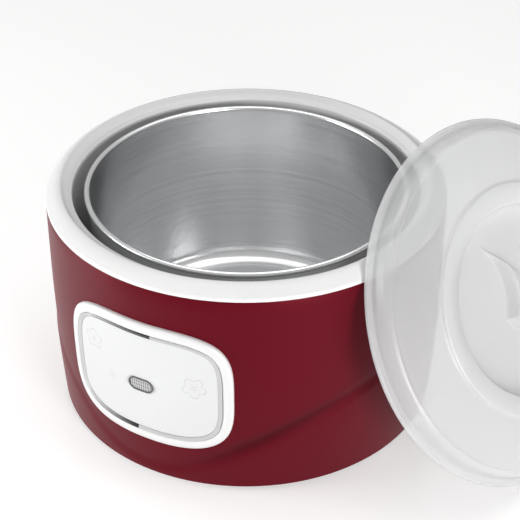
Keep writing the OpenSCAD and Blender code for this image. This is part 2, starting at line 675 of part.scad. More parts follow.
module lamp_wires() {
    wire_r = 0.7;
    drop_y = -board_y + board_t + wire_r + slip;
    color("#b9463c") place_body() for (s = [-1, 1]) wire([[s * 7, drop_y, board_z - 6], [s * 7, drop_y, 12],
        [s * 7, drop_y + 25.6, 9], [s * tab_x, -8, tab_z], [s * tab_x, 1.9 - hair, tab_z]], wire_r);
}

// Room for the inlet in the housing's wall and lower ledge
module inlet_cut(c) {
    translate([-inlet_w / 2 - c, inlet_back, base_top - c])
        cube([inlet_w + 2 * c, body_r + over - inlet_back, inlet_h + 2 * c]);
    translate([-inlet_w / 2 - inlet_ear - c, inlet_back - over, base_top - c])
        cube([inlet_w + 2 * inlet_ear + 2 * c, ear_front + c - inlet_back + over, inlet_h + 2 * c]);
}

module inlet_housing() {
    color("#f0f0ee") place_body() difference() {
        union() {
            translate([-inlet_w / 2, ear_front - 1, base_top]) cube([inlet_w, inlet_face - ear_front + 1, inlet_h]);
            translate([-inlet_w / 2 - inlet_ear, inlet_back, base_top])
                cube([inlet_w + 2 * inlet_ear, ear_front - inlet_back, inlet_h]);
        }
        translate([0, inlet_face + over, inlet_z]) rotate([90, 0, 0]) linear_extrude(socket_deep + over) {
            for (s = [-1, 1]) translate([s * pin_gap, 0]) circle(r = socket_r, $fn = 64);
            square([2 * pin_gap, 2 * socket_r - 1.6], center = true);
        }
        for (s = [-1, 1]) translate([s * pin_gap, inlet_face, inlet_z]) rotate([90, 0, 0])
            cylinder(r = pin_r + hair, h = inlet_face - inlet_back + over, $fn = 48);
    }
}

module inlet_pins() {
    color("#d6d2bf") place_body() for (s = [-1, 1]) translate([s * pin_gap, inlet_face - 2, inlet_z])
        rotate([90, 0, 0]) cylinder(r = pin_r, h = inlet_face - 2 - tail_end, $fn = 48);
}

outer_shell();
top_ring();
chamber_liner();
base_plate();
rubber_feet();
base_screws();
inner_pot();
lid();
panel_bezel();
panel_trim();
panel_plate();
pill_frame();
lamp_lens();
led_board();
led_lamp();
board_screws();
heat_plate();
heater_block();
mica_sheet();
heater_clamp();
clamp_screws();
thermal_fuse();
fuse_clip();
lead_wires();
lamp_wires();
inlet_housing();
inlet_pins();
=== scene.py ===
import math
import bpy
import bmesh
import numpy as np
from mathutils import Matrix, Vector


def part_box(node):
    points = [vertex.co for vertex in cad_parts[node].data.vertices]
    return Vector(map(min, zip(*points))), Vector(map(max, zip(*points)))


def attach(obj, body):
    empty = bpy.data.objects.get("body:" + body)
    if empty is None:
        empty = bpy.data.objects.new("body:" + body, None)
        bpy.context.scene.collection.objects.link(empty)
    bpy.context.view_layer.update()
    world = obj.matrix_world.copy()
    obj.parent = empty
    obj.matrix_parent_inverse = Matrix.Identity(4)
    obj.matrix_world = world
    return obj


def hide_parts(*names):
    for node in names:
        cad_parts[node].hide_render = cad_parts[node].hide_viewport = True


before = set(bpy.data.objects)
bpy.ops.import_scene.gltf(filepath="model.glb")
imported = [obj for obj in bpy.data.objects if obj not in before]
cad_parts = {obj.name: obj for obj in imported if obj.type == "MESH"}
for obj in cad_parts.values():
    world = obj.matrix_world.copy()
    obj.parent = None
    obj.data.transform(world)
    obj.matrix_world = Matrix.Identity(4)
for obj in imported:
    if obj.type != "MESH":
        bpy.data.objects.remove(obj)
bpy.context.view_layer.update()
mm = 0.001
print("frame loaded:", len(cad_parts), "nodes")

# the housing stands on its own axis, which the round pot shares
potLow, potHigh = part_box("inner_pot")
axisX = (potLow.x + potHigh.x) / 2 / mm
axisY = (potLow.y + potHigh.y) / 2 / mm

# room: camera, lamps, world and floor
room = {
    "cameraRise": 34.12,        # degrees that the camera looks down
    "cameraFar": 733.04,        # mm from the aimed point
    "lensPixels": 1500.0,       # focal length in pixels of the frame
    "framePixels": 520,
    "sensorWide": 36,
    "sees": (0.01, 20),         # nearest and farthest, m
    "aim": (6.37, 0.0, 66.18),  # mm from the housing's axis
    "lampAim": 0.05,            # height that the lamps point at, m
    "floorHalf": 4,             # m
    "floorColour": (0.78, 0.775, 0.77),
    "floorRough": 0.16,
    "floorLift": 0.46,          # what the floor shows of the white backdrop
    "worldLight": 0.13,
    "worldShown": 0.55,         # what glossy surfaces see of the room
    "boxes": [                  # name, degrees round from the front, distance, height, size, power
        ("leftBox", -84.0, 0.95, 0.24, (0.50, 0.52), 8.1),
        ("rightBox", 27.0, 0.95, 0.20, (0.30, 0.40), 6.7),
        ("topBox", 165.0, 0.22, 1.15, (1.2, 1.0), 5.5),
    ],
}


def linkObject(o):
    bpy.context.scene.collection.objects.link(o)
    return o


def addNode(tree, kind, **values):
    node = tree.nodes.new(kind)
    for key, value in values.items():
        setattr(node, key, value)
    return node


def feed(tree, socket, value):
    # a plain number is set on the socket, anything else is linked to it
    if isinstance(value, (int, float)):
        socket.default_value = value
    else:
        tree.links.new(value, socket)


def mathNode(tree, operation, a, b=None, clamp=False):
    node = addNode(tree, "ShaderNodeMath", operation=operation, use_clamp=clamp)
    feed(tree, node.inputs[0], a)
    if b is not None:
        feed(tree, node.inputs[1], b)
    return node.outputs[0]


def plus(tree, a, b, clamp=False):
    return mathNode(tree, "ADD", a, b, clamp)


def minus(tree, a, b, clamp=False):
    return mathNode(tree, "SUBTRACT", a, b, clamp)


def times(tree, a, b, clamp=False):
    return mathNode(tree, "MULTIPLY", a, b, clamp)


def over(tree, a, b, clamp=False):
    return mathNode(tree, "DIVIDE", a, b, clamp)


def larger(tree, a, b):
    return mathNode(tree, "MAXIMUM", a, b)


def farFrom(tree, dx, dy):
    return mathNode(tree, "SQRT", plus(tree, times(tree, dx, dx), times(tree, dy, dy)))


def turnTo(o, aim):
    o.rotation_euler = (aim - o.location).to_track_quat("-Z", "Y").to_euler()


def makeCamera():
    rise = math.radians(room["cameraRise"])
    aim = Vector((axisX + room["aim"][0], axisY + room["aim"][1], room["aim"][2])) * mm
    far = room["cameraFar"] * mm
    data = bpy.data.cameras.new("camera")
    data.sensor_width = room["sensorWide"]
    data.lens = room["sensorWide"] * room["lensPixels"] / room["framePixels"]
    data.clip_start, data.clip_end = room["sees"]
    cam = linkObject(bpy.data.objects.new("camera", data))
    cam.location = aim + Vector((0, -math.cos(rise) * far, math.sin(rise) * far))
    turnTo(cam, aim)
    bpy.context.scene.camera = cam


def makeLamps():
    aim = Vector((axisX * mm, axisY * mm, room["lampAim"]))
    for name, turn, far, high, size, power in room["boxes"]:
        t = math.radians(turn)
        data = bpy.data.lights.new(name, "AREA")
        data.shape = "RECTANGLE"
        data.size, data.size_y = size
        data.energy = power
        lamp = linkObject(bpy.data.objects.new(name, data))
        lamp.location = (aim.x + far * math.sin(t), aim.y - far * math.cos(t), high)
        turnTo(lamp, aim)


def makeWorld():
    # the camera sees white, glossy surfaces a lit room, and the part gets a low even light
    world = bpy.data.worlds.new("room")
    bpy.context.scene.world = world
    world.use_nodes = True
    tree = world.node_tree
    tree.nodes.clear()
    out = addNode(tree, "ShaderNodeOutputWorld")
    back = addNode(tree, "ShaderNodeBackground")
    back.inputs["Color"].default_value = (1, 1, 1, 1)
    path = addNode(tree, "ShaderNodeLightPath")
    extra = times(tree, path.outputs["Is Glossy Ray"], room["worldShown"] - room["worldLight"])
    glossy = plus(tree, extra, room["worldLight"])
    tree.links.new(larger(tree, path.outputs["Is Camera Ray"], glossy), back.inputs["Strength"])
    tree.links.new(back.outputs[0], out.inputs[0])
    bpy.context.scene.view_settings.view_transform = "Standard"


def makeFloor():
    half = room["floorHalf"]
    corners = [(-half, -half, 0), (half, -half, 0), (half, half, 0), (-half, half, 0)]
    mesh = bpy.data.meshes.new("floor")
    mesh.from_pydata(corners, [], [(0, 1, 2, 3)])
    floor = linkObject(bpy.data.objects.new("floor", mesh))
    mat = bpy.data.materials.new("floorPaper")
    mat.use_nodes = True
    tree = mat.node_tree
    skin = tree.nodes["Principled BSDF"]
    skin.inputs["Base Color"].default_value = (*room["floorColour"], 1)
    skin.inputs["Roughness"].default_value = room["floorRough"]
    glow = addNode(tree, "ShaderNodeEmission")
    path = addNode(tree, "ShaderNodeLightPath")
    both = addNode(tree, "ShaderNodeAddShader")
    seen = larger(tree, path.outputs["Is Camera Ray"], path.outputs["Is Glossy Ray"])
    seen = larger(tree, seen, path.outputs["Is Transmission Ray"])
    tree.links.new(times(tree, seen, room["floorLift"]), glow.inputs["Strength"])
    tree.links.new(skin.outputs[0], both.inputs[0])
    tree.links.new(glow.outputs[0], both.inputs[1])
    tree.links.new(both.outputs[0], tree.nodes["Material Output"].inputs["Surface"])
    mesh.materials.append(mat)


makeCamera()
makeLamps()
makeWorld()
makeFloor()
print("room ready")

# shared effects as node groups
effects = {
    "cloudScale": 14.0,         # slow mottle of the plastics
    "cloudDetail": 4.0,
    "grainDetail": 2.0,
    "steelCloud": 22.0,         # slow mottle of the metals
    "lineShare": 0.7,           # the rest of the streaks is slow mottle
    "streakRough": 1.4,         # how much the streaks change the roughness
    "bumpReach": 0.0002,        # m
}


def makeGroup(name, ins, outs):
    # an input is a colour where its value is a tuple, an output where its name is Colour
    group = bpy.data.node_groups.new(name, "ShaderNodeTree")
    for label, value in ins.items():
        kind = "NodeSocketColor" if isinstance(value, tuple) else "NodeSocketFloat"
        socket = group.interface.new_socket(name=label, in_out="INPUT", socket_type=kind)
        socket.default_value = value
    for label in outs:
        kind = "NodeSocketColor" if label == "Colour" else "NodeSocketFloat"
        group.interface.new_socket(name=label, in_out="OUTPUT", socket_type=kind)
    return group, addNode(group, "NodeGroupInput"), addNode(group, "NodeGroupOutput")


def noiseNode(tree, vector, scale, detail):
    node = addNode(tree, "ShaderNodeTexNoise")
    node.inputs["Detail"].default_value = detail
    tree.links.new(vector, node.inputs["Vector"])
    feed(tree, node.inputs["Scale"], scale)
    return node.outputs["Fac"]


def varyColour(group, gin, gout, change):
    hsv = addNode(group, "ShaderNodeHueSaturation")
    group.links.new(plus(group, change, 1.0), hsv.inputs["Value"])
    group.links.new(gin.outputs["Colour"], hsv.inputs["Color"])
    group.links.new(hsv.outputs["Color"], gout.inputs["Colour"])


def varyRough(group, gin, gout, change):
    group.links.new(plus(group, change, gin.outputs["Roughness"], True), gout.inputs["Roughness"])


def makeMouldedGroup():
    group, gin, gout = makeGroup("mouldedPlastic", {
        "Colour": (0.8, 0.8, 0.8, 1), "Mottle": 0.04, "Grain Scale": 900.0,
        "Roughness": 0.3, "Rough Spread": 0.05,
    }, ["Colour", "Roughness", "Height"])
    coords = addNode(group, "ShaderNodeTexCoord").outputs["Object"]
    cloud = noiseNode(group, coords, effects["cloudScale"], effects["cloudDetail"])
    grain = noiseNode(group, coords, gin.outputs["Grain Scale"], effects["grainDetail"])
    around = minus(group, cloud, 0.5)
    varyColour(group, gin, gout, times(group, around, gin.outputs["Mottle"]))
    varyRough(group, gin, gout, times(group, around, gin.outputs["Rough Spread"]))
    group.links.new(grain, gout.inputs["Height"])
    return group


def fromAxis(group, gin):
    # a point's place from the upright axis, in metres
    coords = addNode(group, "ShaderNodeTexCoord").outputs["Object"]
    split = addNode(group, "ShaderNodeSeparateXYZ")
    group.links.new(coords, split.inputs[0])
    dx = minus(group, split.outputs[0], gin.outputs["Axis X"])
    dy = minus(group, split.outputs[1], gin.outputs["Axis Y"])
    return coords, dx, dy, split.outputs[2]


def makeSpunGroup():
    # lines that run round the axis, as a lathe leaves them
    group, gin, gout = makeGroup("spunMetal", {
        "Colour": (0.7, 0.7, 0.7, 1), "Axis X": 0.0, "Axis Y": 0.0, "Lines per Metre": 2500.0,
        "Streak": 0.1, "Roughness": 0.25,
    }, ["Colour", "Roughness", "Height"])
    coords, dx, dy, z = fromAxis(group, gin)
    along = addNode(group, "ShaderNodeCombineXYZ")
    group.links.new(farFrom(group, dx, dy), along.inputs[0])
    group.links.new(z, along.inputs[1])
    lines = noiseNode(group, along.outputs[0], gin.outputs["Lines per Metre"], effects["grainDetail"])
    wide = noiseNode(group, coords, effects["steelCloud"], effects["grainDetail"])
    share = effects["lineShare"]
    both = plus(group, times(group, lines, share), times(group, wide, 1 - share))
    streak = times(group, minus(group, both, 0.5), gin.outputs["Streak"])
    varyColour(group, gin, gout, streak)
    varyRough(group, gin, gout, times(group, streak, effects["streakRough"]))
    group.links.new(lines, gout.inputs["Height"])
    return group


def makeAroundGroup():
    # where a point of the panel lies, mm along the housing's side and up from the panel's middle
    group, gin, gout = makeGroup("aroundHousing", {
        "Axis X": 0.0, "Axis Y": 0.0, "Turn": 0.0, "Radius": 94.4, "Middle Height": 56.6,
    }, ["Along", "Up"])
    coords, dx, dy, z = fromAxis(group, gin)
    angle = minus(group, mathNode(group, "ARCTAN2", dx, times(group, dy, -1.0)), gin.outputs["Turn"])
    group.links.new(times(group, angle, gin.outputs["Radius"]), gout.inputs["Along"])
    group.links.new(minus(group, times(group, z, 1 / mm), gin.outputs["Middle Height"]), gout.inputs["Up"])
    return group


def lineMask(tree, value, middle, half):
    # 1 on the line, down to 0 at half a width from it
    off = mathNode(tree, "ABSOLUTE", minus(tree, value, middle))
    return minus(tree, 1.0, over(tree, off, half), True)


flower = {                  # lengths are shares of the flower's size
    "petals": 5,
    "petalFrom": 0.55,      # the outline's least distance from the middle
    "petalLong": 0.45,
    "petalRound": 0.7,
    "lineHalf": 0.075,
    "heart": 0.17,
    "heartHalf": 0.06,
    "veinFine": 5.0,
    "vein": 0.40,
    "veinHalf": 0.20,
}


def makeFlowerGroup():
    # a plain five-petal flower drawn in thin lines
    group, gin, gout = makeGroup("flowerLines", {
        "Along": 0.0, "Up": 0.0, "Middle Along": 0.0, "Middle Up": 0.0, "Size": 5.0, "Turn": 0.0,
    }, ["Mark"])
    f = flower
    size = gin.outputs["Size"]
    du = over(group, minus(group, gin.outputs["Along"], gin.outputs["Middle Along"]), size)
    dv = over(group, minus(group, gin.outputs["Up"], gin.outputs["Middle Up"]), size)
    far = farFrom(group, du, dv)
    turn = plus(group, mathNode(group, "ARCTAN2", dv, du), gin.outputs["Turn"])
    angle = times(group, turn, f["petals"] / 2)
    lobe = mathNode(group, "ABSOLUTE", mathNode(group, "SINE", angle))
    lobe = times(group, mathNode(group, "POWER", lobe, f["petalRound"]), f["petalLong"])
    edge = lineMask(group, far, plus(group, lobe, f["petalFrom"]), f["lineHalf"])
    heart = lineMask(group, far, f["heart"], f["heartHalf"])
    between = mathNode(group, "ABSOLUTE", mathNode(group, "COSINE", angle))
    vein = minus(group, 1.0, times(group, between, f["veinFine"]), True)
    vein = times(group, vein, lineMask(group, far, f["vein"], f["veinHalf"]))
    group.links.new(larger(group, larger(group, edge, heart), vein), gout.inputs["Mark"])
    return group


mouldedGroup = makeMouldedGroup()
spunGroup = makeSpunGroup()
aroundGroup = makeAroundGroup()
flowerGroup = makeFlowerGroup()


def setInputs(node, values):
    for label, value in values.items():
        node.inputs[label].default_value = value


def finishMaterial(name, group, values, bump, sockets):
    mat = bpy.data.materials.new(name)
    mat.use_nodes = True
    tree = mat.node_tree
    skin = tree.nodes["Principled BSDF"]
    effect = addNode(tree, "ShaderNodeGroup", node_tree=group, name="effect")
    setInputs(effect, values)
    tree.links.new(effect.outputs["Colour"], skin.inputs["Base Color"])
    tree.links.new(effect.outputs["Roughness"], skin.inputs["Roughness"])
    bumpNode = addNode(tree, "ShaderNodeBump")
    setInputs(bumpNode, {"Strength": bump, "Distance": effects["bumpReach"]})
    tree.links.new(effect.outputs["Height"], bumpNode.inputs["Height"])
    tree.links.new(bumpNode.outputs["Normal"], skin.inputs["Normal"])
    setInputs(skin, sockets)
    return mat


def plasticFinish(name, colour, rough, grain, bump, mottle, spread, sockets=None):
    values = {"Mottle": mottle, "Grain Scale": grain, "Roughness": rough, "Rough Spread": spread}
    values["Colour"] = (*colour, 1)
    return finishMaterial(name, mouldedGroup, values, bump, sockets or {})


def metalFinish(name, colour, rough, lines, bump, streak):
    values = {"Lines per Metre": lines, "Streak": streak, "Roughness": rough}
    values.update({"Colour": (*colour, 1), "Axis X": axisX * mm, "Axis Y": axisY * mm})
    return finishMaterial(name, spunGroup, values, bump, {"Metallic": 1.0})


def mixOver(tree, plain, dark, mask):
    # the effect's colour goes from plain to dark where the mask says
    mix = addNode(tree, "ShaderNodeMix", data_type="RGBA")
    plainIn, darkIn = [i for i in mix.inputs if i.type == "RGBA"]
    plainIn.default_value = (*plain, 1)
    darkIn.default_value = (*dark, 1)
    tree.links.new(mask, mix.inputs["Factor"])
    mixed = [o for o in mix.outputs if o.type == "RGBA"][0]
    tree.links.new(mixed, tree.nodes["effect"].inputs["Colour"])


maroonColour = (0.104, 0.0028, 0.0085)
maroonSheen = {"Specular IOR Level": 0.27, "Specular Tint": (1.0, 0.17, 0.27, 1.0)}
lidSockets = {              # each face hides about half of what lies behind it
    "Subsurface Weight": 0.6,
    "Subsurface Radius": (1.0, 1.0, 1.0),
    "Subsurface Scale": 0.004,
    "Alpha": 0.54,
}
# name, colour, roughness, grains per metre, bump, mottle, spread of the roughness
plastics = {
    "maroon": ("maroonPlastic", maroonColour, 0.42, 700.0, 0.03, 0.06, 0.04, maroonSheen),
    "white": ("whitePlastic", (0.86, 0.86, 0.857), 0.22, 600.0, 0.02, 0.02, 0.04),
    "liner": ("chamberPlastic", (0.84, 0.84, 0.84), 0.26, 800.0, 0.04, 0.04, 0.06),
    "base": ("basePlastic", (0.66, 0.66, 0.655), 0.5, 1500.0, 0.25, 0.05, 0.08),
    "rubber": ("footRubber", (0.03, 0.03, 0.03), 0.75, 2200.0, 0.4, 0.15, 0.1),
    "bezel": ("framePlastic", (0.82, 0.82, 0.82), 0.32, 700.0, 0.015, 0.02, 0.03),
    "pillRim": ("pillRimGrey", (0.11, 0.11, 0.115), 0.3, 1800.0, 0.03, 0.05, 0.05),
    "board": ("boardLacquer", (0.03, 0.16, 0.07), 0.35, 3000.0, 0.2, 0.3, 0.1),
    "lamp": ("lampResin", (0.55, 0.03, 0.02), 0.15, 900.0, 0.02, 0.1, 0.05),
    "ceramic": ("heaterCeramic", (0.72, 0.69, 0.62), 0.7, 1600.0, 0.4, 0.12, 0.1),
    "mica": ("micaFlake", (0.45, 0.32, 0.15), 0.4, 900.0, 0.4, 0.5, 0.2),
    "redWire": ("redSleeve", (0.40, 0.02, 0.02), 0.5, 2500.0, 0.2, 0.15, 0.1),
    "blackWire": ("blackSleeve", (0.03, 0.03, 0.03), 0.5, 2500.0, 0.2, 0.15, 0.1),
    "inlet": ("inletPlastic", (0.025, 0.025, 0.026), 0.45, 1600.0, 0.25, 0.1, 0.1),
    "lid": ("frostedLid", (0.73, 0.735, 0.74), 0.26, 500.0, 0.02, 0.03, 0.06, lidSockets),
}
# name, colour, roughness, lines per metre, bump, streak
metals = {
    "pot": ("potSteel", (0.78, 0.785, 0.79), 0.24, 700.0, 0.006, 0.12),
    "screw": ("screwSteel", (0.55, 0.55, 0.56), 0.3, 5000.0, 0.1, 0.3),
    "alloy": ("plateAlloy", (0.60, 0.60, 0.61), 0.35, 1800.0, 0.15, 0.3),
    "strip": ("clampSteel", (0.50, 0.50, 0.51), 0.35, 3500.0, 0.15, 0.3),
    "fuse": ("fuseCan", (0.55, 0.47, 0.30), 0.35, 3500.0, 0.1, 0.3),
    "brass": ("pinBrass", (0.60, 0.43, 0.18), 0.3, 3500.0, 0.1, 0.3),
}
finishes = {key: plasticFinish(*values) for key, values in plastics.items()}
finishes.update({key: metalFinish(*values) for key, values in metals.items()})
print("finishes ready:", len(finishes))


# mesh helpers, all in mm until the mesh is made
def shadeRound(mesh, sharp):
    mesh.shade_smooth()
    mesh.set_sharp_from_angle(angle=math.radians(sharp))


def makeMesh(name, points, faces, weld=False, near=1e-6):
    # points that lie nearer than that are joined where weld is set, as in the middle of a floor
    mesh = bpy.data.meshes.new(name)
    mesh.from_pydata((np.asarray(points) * mm).tolist(), [], faces)
    bm = bmesh.new()
    bm.from_mesh(mesh)
    if weld:
        bmesh.ops.remove_doubles(bm, verts=bm.verts, dist=near)
    bmesh.ops.recalc_face_normals(bm, faces=bm.faces)
    bm.to_mesh(mesh)
    bm.free()
    return linkObject(bpy.data.objects.new(name, mesh))


def dress(o, finish, sharp, body, replaces):
    o.data.materials.append(finishes[finish])
    shadeRound(o.data, sharp)
    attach(o, body)
    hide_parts(replaces)


def gridFaces(rows, columns, closedRows=True):
    faces = []
    for i in range(rows if closedRows else rows - 1):
        for j in range(columns):
            a, b = i * columns + j, i * columns + (j + 1) % columns
            down = ((i + 1) % rows) * columns
            faces.append((a, b, down + (j + 1) % columns, down + j))
    return faces


def roundCorners(points, steps=6, most=0.48):
    # each point is radius, height and how far its corner is rounded, at most a share of the side
    out = []
    n = len(points)
    for i, (r, z, cut) in enumerate(points):
        p = np.array([r, z])
        if cut <= 0:
            out.append(p)
            continue
        a, b = np.array(points[i - 1][:2]), np.array(points[(i + 1) % n][:2])
        ends = []
        for way in (a - p, b - p):
            long = np.linalg.norm(way)
            ends.append(p + way / long * min(cut, long * most))
        for k in range(steps + 1):
            t = k / steps
            out.append(ends[0] * (1 - t) ** 2 + p * 2 * t * (1 - t) + ends[1] * t * t)
    return np.array(out)


def softLine(points, rounds=2):
    # cuts the corners of an open line, and keeps its two ends
    p = np.asarray(points, float)
    for _ in range(rounds):
        a, b = p[:-1], p[1:]
        mids = np.stack([a * 0.75 + b * 0.25, a * 0.25 + b * 0.75], 1).reshape(-1, 2)
        p = np.concatenate([p[:1], mids, p[-1:]])
    return p


def arcPoints(cx, cz, r, a0, a1, n):
    turns = [math.radians(a0 + (a1 - a0) * i / n) for i in range(n + 1)]
    return [(cx + r * math.cos(t), cz + r * math.sin(t)) for t in turns]


def moved(x, z, offsets):
    return [(x + dx, z + dz) for dx, dz in offsets]


def revolve(profile, columns):
    a = np.arange(columns) * 2 * math.pi / columns
    pts = [np.stack([r * np.cos(a), r * np.sin(a), np.full(columns, z)], 1) for r, z in profile]
    return np.concatenate(pts), gridFaces(len(profile), columns)


def smoothStep(t):
    t = np.clip(t, 0, 1)
    return t * t * (3 - 2 * t)


def spin(x, y, degrees):
    t = math.radians(degrees)
    return x * math.cos(t) - y * math.sin(t), x * math.sin(t) + y * math.cos(t)


# housing: one skin with a long smile-shaped line over its skirt
housing = {
    "turn": -29.3,          # degrees that the panel is turned from straight ahead
    "radius": 94.4,
    "top": 108.3,
    "low": 1.5,
    "wall": 2.5,
    "sideArc": 1010.0,      # radius of the long curve of the side
    "straightFrom": 78.0,   # height where the curve starts
    "footEdge": [(-0.7, 0.0), (-0.2, 0.22)],        # out and up from the lower edge
    "topEdge": [(-0.15, -0.12), (-0.5, 0.0)],       # out and up from the upper edge
    "insideRows": (60.0, 25.0),
    "skirtRows": 8,
    "skirtShare": 0.85,
    "lineRows": 31,
    "sideRows": 14,
    "skirtOut": 0.6,
    "stepWide": 6.5,
    "stepUp": 0.4,
    "smileSlope": 31.3,     # degrees of the line's straight ends
    "smileRadius": 60.0,
    "smileLow": 8.9,
    "valley": 0.26,         # depth of the soft valley over the skirt
    "valleyWide": 2.6,
    "valleyUp": 1.4,
    "paintedShadeDark": 0.48,     # how much the painted shade darkens the maroon in the valley
    "paintedShadeWide": 4.0,
    "paintedShadeUp": 1.2,
    "paintedShadeEnd": 30.0,      # the painted shade fades this near to the silhouette's sides
    "creaseFrom": 8.0,      # the valley comes in gently from here to the right
    "creaseIn": 45.0,
    "creaseLeast": 0.12,
    "skirtFrom": 0.8,       # the side starts this far over the lower edge
    "nearLine": (6.0, 9.0),     # below and above the line, where the rows are fine
    "topGap": 0.5,
    "columns": 360,
    "sharp": 28,
    "cutFrom": 60.0,        # reach of the openings' cutters from the axis
    "cutTo": 110.0,
    "panelHoleIn": -5.2,    # the panel's opening lies this far inside its outline
    "inletHalf": 10.0,
    "inletGap": 0.3,
}


def sideR(z):
    z = np.asarray(z, float)
    drop = np.clip(housing["straightFrom"] - z, 0, None)
    return housing["radius"] - (housing["sideArc"] - np.sqrt(housing["sideArc"] ** 2 - drop ** 2))


def toRow(points):
    # from the housing's own axes to the frame's
    p = np.asarray(points, float)
    x, y = spin(p[:, 0], p[:, 1], housing["turn"])
    return np.stack([x + axisX, y + axisY, p[:, 2]], 1)


def smileHeight(x):
    h = housing
    slope = math.radians(h["smileSlope"])
    touchX = h["smileRadius"] * math.sin(slope)
    bendZ = h["smileLow"] + h["smileRadius"]
    x = np.abs(x)
    inBend = bendZ - np.sqrt(np.clip(h["smileRadius"] ** 2 - np.minimum(x, touchX) ** 2, 0, None))
    past = bendZ - h["smileRadius"] * math.cos(slope) + (x - touchX) * math.tan(slope)
    return np.where(x <= touchX, inBend, past)


def creaseShare(across):
    least = housing["creaseLeast"]
    return least + (1 - least) * smoothStep((across - housing["creaseFrom"]) / housing["creaseIn"])


def skirtOffset(below, share):
    h = housing
    step = h["skirtOut"] * smoothStep((below + h["stepUp"]) / h["stepWide"])
    return step - share * h["valley"] * np.exp(-((below + h["valleyUp"]) / h["valleyWide"]) ** 2)


def makeHousing():
    h = housing
    n = h["columns"]
    a = np.arange(n) * 2 * math.pi / n
    x = h["radius"] * np.sin(a)
    line = smileHeight(x)
    tilt = np.cos(np.arctan(np.gradient(line, 1.0) / (h["radius"] * 2 * math.pi / n)))
    start = h["low"] + h["skirtFrom"]
    below, above = h["nearLine"]
    end = h["top"] - h["topGap"]
    skirt = np.linspace(0, h["skirtShare"], h["skirtRows"])[:-1]
    heights = [start * (1 - t) + (line - below) * t for t in skirt]
    heights += [line - d for d in np.linspace(below, -above, h["lineRows"])]
    heights += [(line + above) * (1 - t) + end * t for t in np.linspace(0, 1, h["sideRows"])[1:]]

    def ringAt(r, z):
        return np.stack([r * np.sin(a), -r * np.cos(a), z + 0 * a], 1)

    foot = [(-h["wall"], 0.0)] + h["footEdge"]
    rows = [ringAt(r, z) for r, z in moved(sideR(h["low"]), h["low"], foot)]
    for z in heights:
        z = np.maximum(z, start)
        rows.append(ringAt(sideR(z) + skirtOffset((line - z) * tilt, creaseShare(x)), z))
    rim = h["topEdge"] + [(-h["wall"], 0.0)]
    rows += [ringAt(r, z) for r, z in moved(h["radius"], h["top"], rim)]
    rows += [ringAt(float(sideR(z)) - h["wall"], z) for z in h["insideRows"]]
    o = makeMesh("housingSkin", toRow(np.concatenate(rows)), gridFaces(len(rows), n))
    hole = [(px, panel["z"] + pz) for px, pz in panelLine(h["panelHoleIn"])]
    cutWith(o, prismObject(hole, h["cutFrom"], h["cutTo"]))
    cutWith(o, prismObject(inletShape(), -h["cutTo"], -h["cutFrom"]))
    # painted shade along the valley, for the maroon finish to darken
    markPaintedShade(o.data)
    dress(o, "maroon", h["sharp"], "housing", "outer_shell")


def markPaintedShade(mesh):
    # painted shade mask: how near each point lies to the middle of the valley, from 0 to 1
    h = housing
    p = np.array([v.co[:] for v in mesh.vertices]) / mm - np.array([axisX, axisY, 0])
    across = spin(p[:, 0], p[:, 1], -h["turn"])[0]
    fade = smoothStep((h["radius"] - np.abs(across)) / h["paintedShadeEnd"])
    up = smileHeight(across) + h["paintedShadeUp"] - p[:, 2]
    near = np.exp(-(up / h["paintedShadeWide"]) ** 2) * fade * creaseShare(across)
    mark = mesh.attributes.new("crease", "FLOAT", "POINT")
    mark.data.foreach_set("value", near.astype(np.float32))


def paintShadeInValley():
    # painted shade: the maroon is darkened in the valley, where shade falls
    tree = finishes["maroon"].node_tree
    near = addNode(tree, "ShaderNodeAttribute", attribute_name="crease")
    keep = 1 - housing["paintedShadeDark"]
    mixOver(tree, maroonColour, [v * keep for v in maroonColour], near.outputs["Fac"])


def prismObject(outline, y0, y1):
    n = len(outline)
    pts = [(x, -y, z) for y in (y0, y1) for x, z in outline]
    faces = [tuple(range(n))[::-1], tuple(range(n, 2 * n))]
    faces += [(i, (i + 1) % n, n + (i + 1) % n, n + i) for i in range(n)]
    return makeMesh("cutter", toRow(pts), faces)


def cutWith(o, cutter):
    mod = o.modifiers.new("opening", "BOOLEAN")
    mod.operation = "DIFFERENCE"
    mod.solver = "EXACT"
    mod.object = cutter
    bpy.context.view_layer.update()
    graph = bpy.context.evaluated_depsgraph_get()
    mesh = bpy.data.meshes.new_from_object(o.evaluated_get(graph))
    o.modifiers.clear()
    old = o.data
    o.data = mesh
    bpy.data.meshes.remove(old)
    bpy.data.objects.remove(cutter)


def inletShape():
    low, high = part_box("inlet_housing")
    gap = housing["inletGap"]
    z0, z1 = low.z / mm - gap, high.z / mm + gap
    half = housing["inletHalf"] + gap
    return [(-half, z0), (half, z0), (half, z1), (-half, z1)]


# control panel: frame, bright trim and face plate, bent round the housing's side
panel = {
    "halfWide": 43.3,
    "halfHigh": 33.2,
    "z": 56.6,
    "square": 3.6,          # 2 is an ellipse, higher is nearer to a box
    "points": 144,
    "band": 4.9,            # width of the frame
    "out": 2.4,             # height of the frame over the side
    "frameOuter": [(0.02, 0.42), (-0.35, 0.7), (-1.1, 0.9), (-2.2, 1.0)],   # across, share of out
    "frameInner": [(1.4, 0.97), (0.35, 0.86), (0.0, 0.6)],
    "frameFoot": 0.05,
    "sill": 0.9,            # the trim and the plate lie behind it
    "rootWide": 2.2,
    "rootIn": 3.7,
    "rootDeep": -3.0,
    "trim": 1.9,            # width of the bevel
    "trimGap": 0.1,
    "trimOuter": [(0.0, 0.92), (-0.12, 1.08), (-0.3, 1.05)],        # across and up
    "trimInner": [(0.2, 0.62), (0.0, 0.5)],
    "seat": 1.0,            # height of the floor that trim and plate stand on
    "plateGap": 0.2,
    "plateHigh": 0.45,
    "plateRings": (0.06, 0.985, 18),        # first and last share of the way out, how many
    "plateEdge": [(0.996, 0.42), (1.0, 0.33), (1.0, 0.05)],         # share of the way out, up
    "finePoints": 4001,
    "frameSharp": 50,
    "trimSharp": 40,
}
